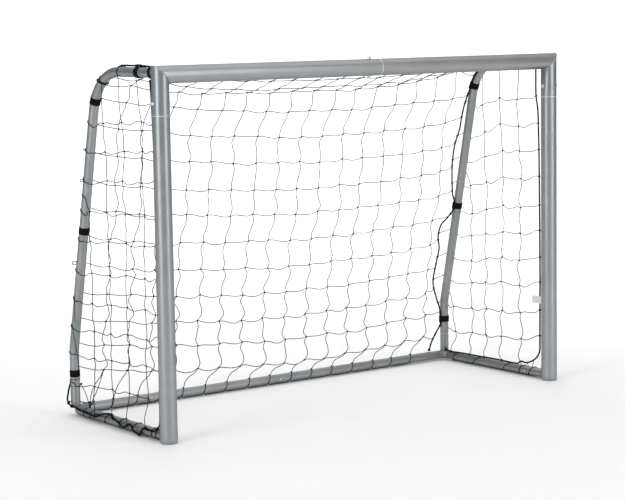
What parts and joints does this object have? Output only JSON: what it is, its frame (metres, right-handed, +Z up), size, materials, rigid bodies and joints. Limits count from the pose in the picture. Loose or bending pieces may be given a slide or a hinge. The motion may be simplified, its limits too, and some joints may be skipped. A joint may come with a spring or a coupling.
{
  "type": "soccer goal frame",
  "caption": "Garden soccer goal: round tube front frame, bent rear tubes with a rear ground bar, knotted net on ropes, straps and lacing, with spring snap buttons.",
  "frame": {"origin": "ground level under the middle of the whole goal's box", "axes": "+X along the crossbar to the right seen from the mouth, +Y from the mouth to the back, +Z up"},
  "size_m": [1.8236, 0.6835, 1.2718],
  "materials": {
    "silver_paint": "satin silver-grey powder coat",
    "zinc_steel": "zinc plated",
    "cap_plastic": "satin grey",
    "hook_loop": "black hook-and-loop tape",
    "braided_rope": "black braided polyester",
    "net_cord": "thin black knotted cord",
    "label_cloth": "blank white woven label"
  },
  "bodies": {
    "root": {"upright_left": "silver_paint", "corner_stub_left": "silver_paint", "crossbar_left": "silver_paint", "top_side_tube_left": "silver_paint", "low_slope_tube_left": "silver_paint", "rear_stub_left": "silver_paint", "ground_tube_left": "silver_paint", "top_spigot_left": "silver_paint", "foot_spigot_left": "silver_paint", "foot_cap_left": "cap_plastic", "post_bolt_left": "zinc_steel", "post_nut_left": "zinc_steel", "side_clip_left": "zinc_steel", "strap_top_left": "hook_loop", "strap_high_left": "hook_loop", "strap_middle_left": "hook_loop", "strap_low_left": "hook_loop", "rear_rope_left": "braided_rope", "front_rope_left": "braided_rope", "side_lacing_left": "net_cord", "net_side_left": "net_cord", "upright_right": "silver_paint", "corner_stub_right": "silver_paint", "crossbar_right": "silver_paint", "top_side_tube_right": "silver_paint", "low_slope_tube_right": "silver_paint", "rear_stub_right": "silver_paint", "ground_tube_right": "silver_paint", "top_spigot_right": "silver_paint", "foot_spigot_right": "silver_paint", "foot_cap_right": "cap_plastic", "post_bolt_right": "zinc_steel", "post_nut_right": "zinc_steel", "side_clip_right": "zinc_steel", "strap_top_right": "hook_loop", "strap_high_right": "hook_loop", "strap_middle_right": "hook_loop", "strap_low_right": "hook_loop", "rear_rope_right": "braided_rope", "front_rope_right": "braided_rope", "side_lacing_right": "net_cord", "net_side_right": "net_cord", "crossbar_bolt": "zinc_steel", "crossbar_nut": "zinc_steel", "rear_clip": "zinc_steel", "crossbar_rope": "braided_rope", "rear_lacing": "net_cord", "net_roof": "net_cord", "net_back": "net_cord", "net_foot": "net_cord", "net_label": "label_cloth"},
    "left_button": {"side_button_left": "zinc_steel"},
    "right_button": {"side_button_right": "zinc_steel"},
    "middle_button": {"rear_button": "zinc_steel"}
  },
  "joints": [
    {"name": "left_button_press", "type": "slide", "parent": "root", "child": "left_button", "axis": [1, 0, 0], "range_m": [0, 0.005], "stiffness_N_per_m": 1500, "springref_m": -0.001},
    {"name": "right_button_press", "type": "slide", "parent": "root", "child": "right_button", "axis": [1, 0, 0], "range_m": [0, 0.005], "stiffness_N_per_m": 1500, "springref_m": -0.001},
    {"name": "middle_button_press", "type": "slide", "parent": "root", "child": "middle_button", "axis": [0, 1, 0], "range_m": [0, 0.005], "stiffness_N_per_m": 1500, "springref_m": -0.001}
  ]
}
